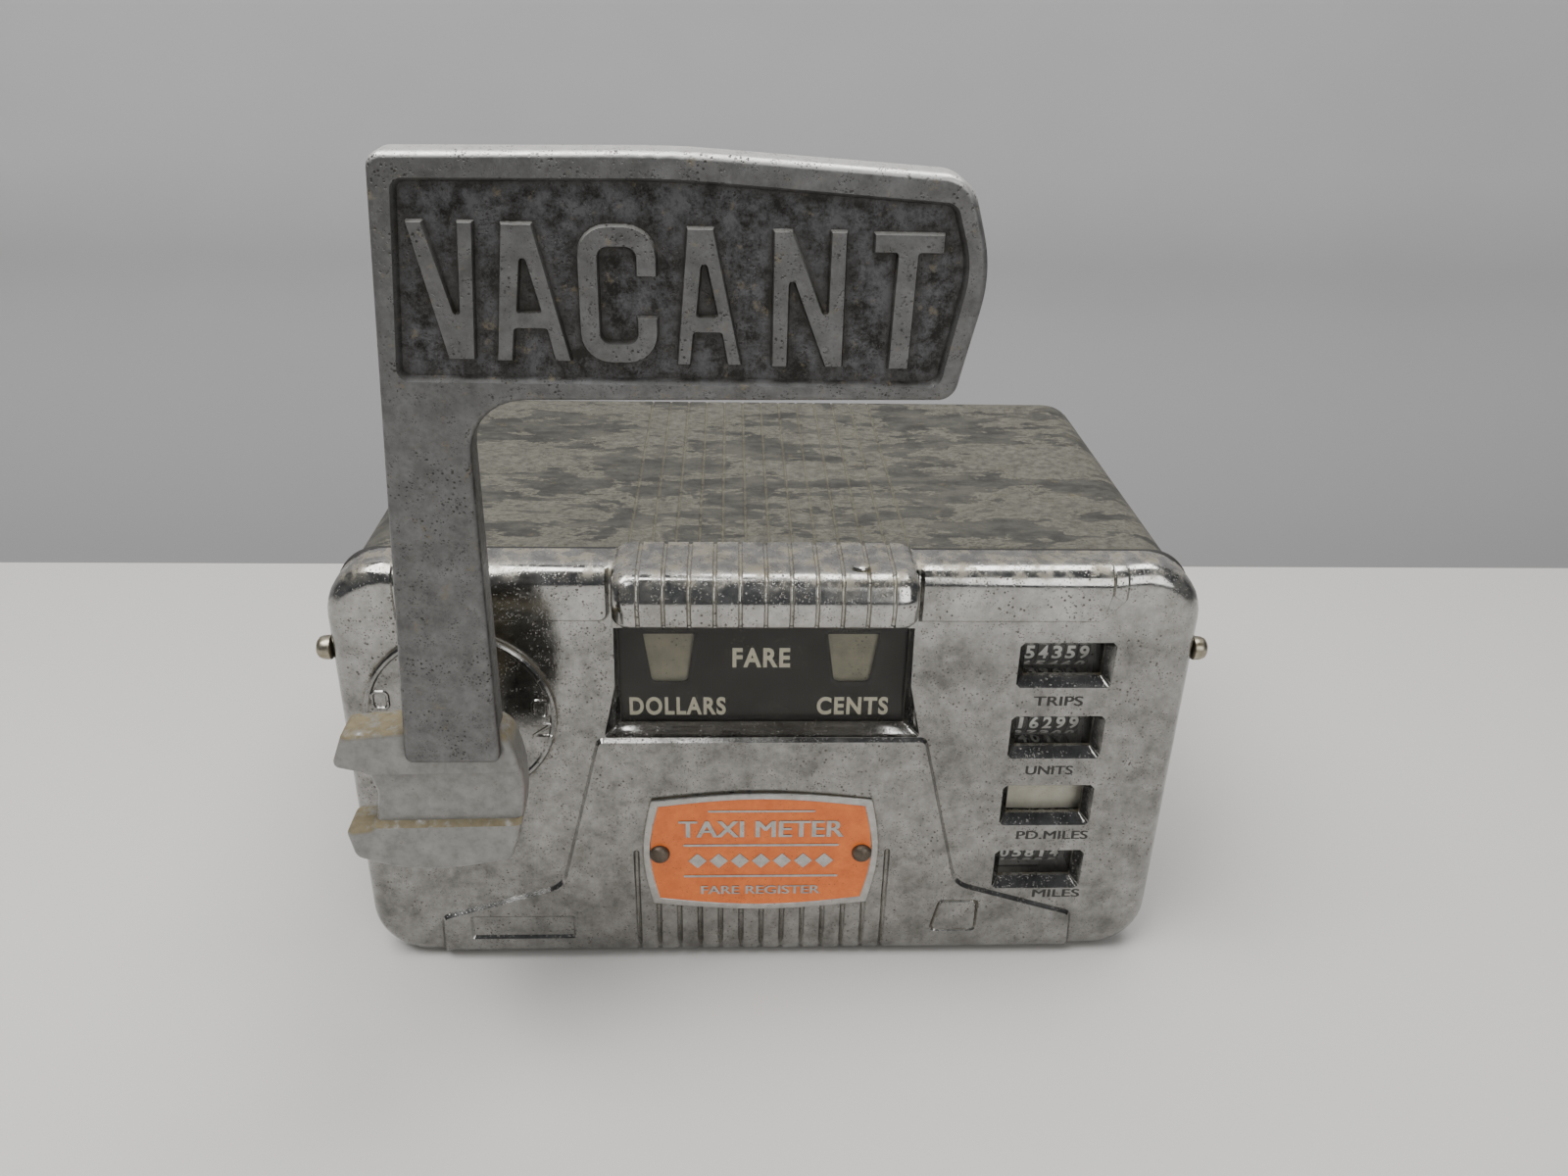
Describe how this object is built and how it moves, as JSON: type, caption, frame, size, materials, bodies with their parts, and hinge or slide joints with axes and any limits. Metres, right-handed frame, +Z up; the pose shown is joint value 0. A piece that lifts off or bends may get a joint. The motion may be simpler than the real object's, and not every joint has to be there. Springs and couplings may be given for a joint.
{
  "type": "taxi meter",
  "caption": "Table or dash mounted taxi meter: cast cover with fare window and counters, painted case, and a lettered flag on a turning handle.",
  "frame": {"origin": "centre of the case's flat underside, half way between the cover's face and the case's back", "axes": "+Z up, the front faces -Y, +X to the right seen from the front"},
  "size_m": [0.2376, 0.1896, 0.2348],
  "materials": {
    "cover_chrome": "worn, pitted chrome plate",
    "cast_flag": "rough cast, dirt in the recess",
    "hub_paint": "worn silver paint",
    "case_paint": "flaking olive-grey paint",
    "gasket_rubber": "aged, matt",
    "plate_enamel": "orange enamel on an aluminium plate",
    "mask_paint": "matt black with white words",
    "shutter_paint": "dull drab paint",
    "drum_moulding": "black with white numerals",
    "black_moulding": "moulded phenolic",
    "plated_steel": "zinc plated",
    "dark_steel": "oxidised",
    "aged_brass": "plated brass, worn",
    "clear_glass": "clear"
  },
  "bodies": {
    "casework": {"front_cover": "cover_chrome", "lamp_hood": "cover_chrome", "hood_pin": "cover_chrome", "name_plate": "plate_enamel", "plate_rivet_left": "dark_steel", "plate_rivet_right": "dark_steel", "window_glass": "clear_glass", "dial_mask": "mask_paint", "position_disc": "cover_chrome", "counter_glass": "clear_glass", "case_shell": "case_paint", "cover_gasket": "gasket_rubber", "seal_screw_left": "aged_brass", "seal_screw_right": "aged_brass", "case_screw_right": "dark_steel", "power_socket": "black_moulding", "shaft_bush": "aged_brass", "chassis_frame": "plated_steel", "drum_axle": "plated_steel", "step_solenoid": "black_moulding", "time_motor": "plated_steel", "lamp_socket": "aged_brass", "lamp_bulb": "clear_glass", "counter_frame": "plated_steel"},
    "flag": {"flag_arm": "cast_flag", "handle_hub": "hub_paint", "flag_screw": "dark_steel", "hub_pin": "dark_steel", "flag_shaft": "plated_steel", "flag_cam": "plated_steel"},
    "shutter": {"fare_shutter": "shutter_paint"},
    "detent": {"detent_lever": "plated_steel"},
    "dollars": {"dollars_drum": "drum_moulding"},
    "cents_tens": {"cents_tens_drum": "drum_moulding"},
    "cents_units": {"cents_units_drum": "drum_moulding", "ratchet_wheel": "plated_steel"},
    "plunger": {"solenoid_plunger": "plated_steel"},
    "pawl": {"drive_pawl": "plated_steel"},
    "trips_1": {"trips_wheel_1": "drum_moulding"},
    "trips_2": {"trips_wheel_2": "drum_moulding"},
    "trips_3": {"trips_wheel_3": "drum_moulding"},
    "trips_4": {"trips_wheel_4": "drum_moulding"},
    "trips_5": {"trips_wheel_5": "drum_moulding"},
    "units_1": {"units_wheel_1": "drum_moulding"},
    "units_2": {"units_wheel_2": "drum_moulding"},
    "units_3": {"units_wheel_3": "drum_moulding"},
    "units_4": {"units_wheel_4": "drum_moulding"},
    "units_5": {"units_wheel_5": "drum_moulding"},
    "paid_miles_1": {"paid_miles_wheel_1": "drum_moulding"},
    "paid_miles_2": {"paid_miles_wheel_2": "drum_moulding"},
    "paid_miles_3": {"paid_miles_wheel_3": "drum_moulding"},
    "paid_miles_4": {"paid_miles_wheel_4": "drum_moulding"},
    "paid_miles_5": {"paid_miles_wheel_5": "drum_moulding"},
    "miles_1": {"miles_wheel_1": "drum_moulding"},
    "miles_2": {"miles_wheel_2": "drum_moulding"},
    "miles_3": {"miles_wheel_3": "drum_moulding"},
    "miles_4": {"miles_wheel_4": "drum_moulding"},
    "miles_5": {"miles_wheel_5": "drum_moulding"}
  },
  "joints": [
    {"name": "flag_turn", "type": "hinge", "parent": "casework", "child": "flag", "pos_m": [-0.0817, -0.06825, 0.0851], "axis": [0, -1, 0], "range_deg": [0, 90]},
    {"name": "shutter_slide", "type": "slide", "parent": "casework", "child": "shutter", "axis": [0, 0, -1], "range_m": [0, 0.017]},
    {"name": "detent_swing", "type": "hinge", "parent": "casework", "child": "detent", "pos_m": [-0.1007, -0.04825, 0.0601], "axis": [0, -1, 0], "range_deg": [0, 5], "stiffness_Nm_per_rad": 0.05, "springref_deg": -9.74},
    {"name": "cents_units_spin", "type": "hinge", "parent": "casework", "child": "cents_units", "pos_m": [0, -0.02925, 0.0985], "axis": [1, 0, 0], "continuous": true},
    {"name": "cents_tens_spin", "type": "hinge", "parent": "casework", "child": "cents_tens", "pos_m": [0, -0.02925, 0.0985], "axis": [1, 0, 0], "continuous": true},
    {"name": "dollars_spin", "type": "hinge", "parent": "casework", "child": "dollars", "pos_m": [0, -0.02925, 0.0985], "axis": [1, 0, 0], "continuous": true},
    {"name": "plunger_pull", "type": "slide", "parent": "casework", "child": "plunger", "axis": [0, 0, -1], "range_m": [0, 0.005], "stiffness_N_per_m": 80, "springref_m": -0.004},
    {"name": "pawl_swing", "type": "hinge", "parent": "plunger", "child": "pawl", "pos_m": [0.037, 0.00175, 0.0548], "axis": [-1, 0, 0], "range_deg": [0, 12], "stiffness_Nm_per_rad": 0.01, "springref_deg": -17.19},
    {"name": "trips_1_spin", "type": "hinge", "parent": "casework", "child": "trips_1", "pos_m": [0.0868, -0.04905, 0.1003], "axis": [1, 0, 0], "continuous": true},
    {"name": "trips_2_spin", "type": "hinge", "parent": "casework", "child": "trips_2", "pos_m": [0.08305, -0.04905, 0.1003], "axis": [1, 0, 0], "continuous": true},
    {"name": "trips_3_spin", "type": "hinge", "parent": "casework", "child": "trips_3", "pos_m": [0.0793, -0.04905, 0.1003], "axis": [1, 0, 0], "continuous": true},
    {"name": "trips_4_spin", "type": "hinge", "parent": "casework", "child": "trips_4", "pos_m": [0.07555, -0.04905, 0.1003], "axis": [1, 0, 0], "continuous": true},
    {"name": "trips_5_spin", "type": "hinge", "parent": "casework", "child": "trips_5", "pos_m": [0.0718, -0.04905, 0.1003], "axis": [1, 0, 0], "continuous": true},
    {"name": "units_1_spin", "type": "hinge", "parent": "casework", "child": "units_1", "pos_m": [0.0868, -0.04905, 0.0774], "axis": [1, 0, 0], "continuous": true},
    {"name": "units_2_spin", "type": "hinge", "parent": "casework", "child": "units_2", "pos_m": [0.08305, -0.04905, 0.0774], "axis": [1, 0, 0], "continuous": true},
    {"name": "units_3_spin", "type": "hinge", "parent": "casework", "child": "units_3", "pos_m": [0.0793, -0.04905, 0.0774], "axis": [1, 0, 0], "continuous": true},
    {"name": "units_4_spin", "type": "hinge", "parent": "casework", "child": "units_4", "pos_m": [0.07555, -0.04905, 0.0774], "axis": [1, 0, 0], "continuous": true},
    {"name": "units_5_spin", "type": "hinge", "parent": "casework", "child": "units_5", "pos_m": [0.0718, -0.04905, 0.0774], "axis": [1, 0, 0], "continuous": true},
    {"name": "paid_miles_1_spin", "type": "hinge", "parent": "casework", "child": "paid_miles_1", "pos_m": [0.0868, -0.04905, 0.0545], "axis": [1, 0, 0], "continuous": true},
    {"name": "paid_miles_2_spin", "type": "hinge", "parent": "casework", "child": "paid_miles_2", "pos_m": [0.08305, -0.04905, 0.0545], "axis": [1, 0, 0], "continuous": true},
    {"name": "paid_miles_3_spin", "type": "hinge", "parent": "casework", "child": "paid_miles_3", "pos_m": [0.0793, -0.04905, 0.0545], "axis": [1, 0, 0], "continuous": true},
    {"name": "paid_miles_4_spin", "type": "hinge", "parent": "casework", "child": "paid_miles_4", "pos_m": [0.07555, -0.04905, 0.0545], "axis": [1, 0, 0], "continuous": true},
    {"name": "paid_miles_5_spin", "type": "hinge", "parent": "casework", "child": "paid_miles_5", "pos_m": [0.0718, -0.04905, 0.0545], "axis": [1, 0, 0], "continuous": true},
    {"name": "miles_1_spin", "type": "hinge", "parent": "casework", "child": "miles_1", "pos_m": [0.0868, -0.04905, 0.0316], "axis": [1, 0, 0], "continuous": true},
    {"name": "miles_2_spin", "type": "hinge", "parent": "casework", "child": "miles_2", "pos_m": [0.08305, -0.04905, 0.0316], "axis": [1, 0, 0], "continuous": true},
    {"name": "miles_3_spin", "type": "hinge", "parent": "casework", "child": "miles_3", "pos_m": [0.0793, -0.04905, 0.0316], "axis": [1, 0, 0], "continuous": true},
    {"name": "miles_4_spin", "type": "hinge", "parent": "casework", "child": "miles_4", "pos_m": [0.07555, -0.04905, 0.0316], "axis": [1, 0, 0], "continuous": true},
    {"name": "miles_5_spin", "type": "hinge", "parent": "casework", "child": "miles_5", "pos_m": [0.0718, -0.04905, 0.0316], "axis": [1, 0, 0], "continuous": true}
  ],
  "couplings": [
    {"joint": "shutter_slide", "follows": "flag_turn", "m_per_rad": 0.0108},
    {"joint": "cents_tens_spin", "follows": "cents_units_spin", "ratio": 0.1},
    {"joint": "dollars_spin", "follows": "cents_units_spin", "ratio": 0.01},
    {"joint": "trips_2_spin", "follows": "trips_1_spin", "ratio": 0.1},
    {"joint": "trips_3_spin", "follows": "trips_1_spin", "ratio": 0.01},
    {"joint": "trips_4_spin", "follows": "trips_1_spin", "ratio": 0.001},
    {"joint": "trips_5_spin", "follows": "trips_1_spin", "ratio": 0.0001},
    {"joint": "units_2_spin", "follows": "units_1_spin", "ratio": 0.1},
    {"joint": "units_3_spin", "follows": "units_1_spin", "ratio": 0.01},
    {"joint": "units_4_spin", "follows": "units_1_spin", "ratio": 0.001},
    {"joint": "units_5_spin", "follows": "units_1_spin", "ratio": 0.0001},
    {"joint": "paid_miles_2_spin", "follows": "paid_miles_1_spin", "ratio": 0.1},
    {"joint": "paid_miles_3_spin", "follows": "paid_miles_1_spin", "ratio": 0.01},
    {"joint": "paid_miles_4_spin", "follows": "paid_miles_1_spin", "ratio": 0.001},
    {"joint": "paid_miles_5_spin", "follows": "paid_miles_1_spin", "ratio": 0.0001},
    {"joint": "miles_2_spin", "follows": "miles_1_spin", "ratio": 0.1},
    {"joint": "miles_3_spin", "follows": "miles_1_spin", "ratio": 0.01},
    {"joint": "miles_4_spin", "follows": "miles_1_spin", "ratio": 0.001},
    {"joint": "miles_5_spin", "follows": "miles_1_spin", "ratio": 0.0001}
  ]
}
